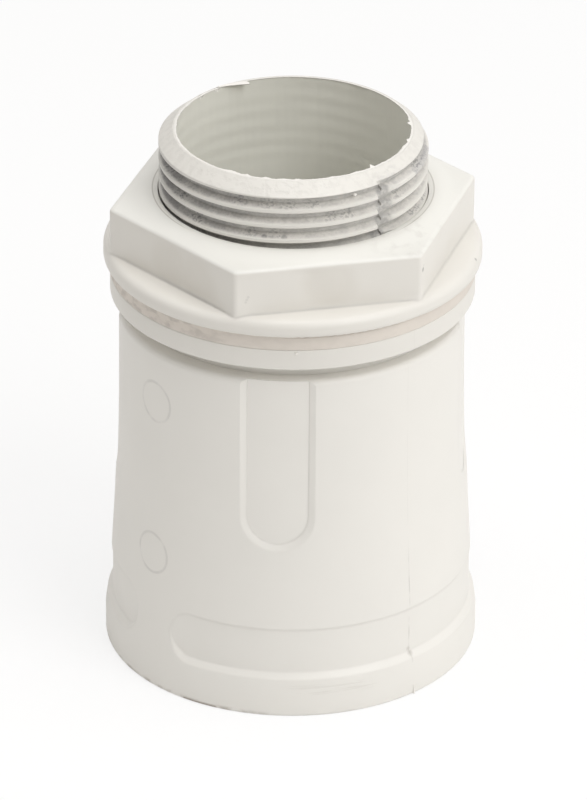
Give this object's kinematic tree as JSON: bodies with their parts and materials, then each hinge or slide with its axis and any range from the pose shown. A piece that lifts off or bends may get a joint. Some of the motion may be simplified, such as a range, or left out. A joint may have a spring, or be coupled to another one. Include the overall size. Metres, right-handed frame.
{
  "type": "conduit box connector",
  "caption": "Straight connector from rigid conduit to a box: bell-shaped barrel with a sealed socket, threaded spigot, flange gasket and flanged hexagon lock nut.",
  "frame": {"origin": "centre of the barrel's mouth, on the face that the connector stands on", "axes": "+Z along the conduit, from the socket to the threaded spigot; -Y is the front, about where one of the grip recesses lies"},
  "size_m": [0.0354, 0.0352, 0.0525],
  "materials": {
    "body_plastic": "light grey moulded plastic, satin, with grey smudges on the thread",
    "nut_plastic": "light grey moulded plastic, satin",
    "gasket_elastomer": "warm grey soft elastomer, matte",
    "seal_elastomer": "warm grey soft elastomer, matte"
  },
  "bodies": {
    "connector": {"connector_body": "body_plastic", "flange_gasket": "gasket_elastomer", "conduit_seal": "seal_elastomer"},
    "nut": {"lock_nut": "nut_plastic"}
  },
  "joints": [
    {"name": "nut_travel", "type": "slide", "parent": "connector", "child": "nut", "axis": [0, 0, 1], "range_m": [0, 0.0135]}
  ]
}
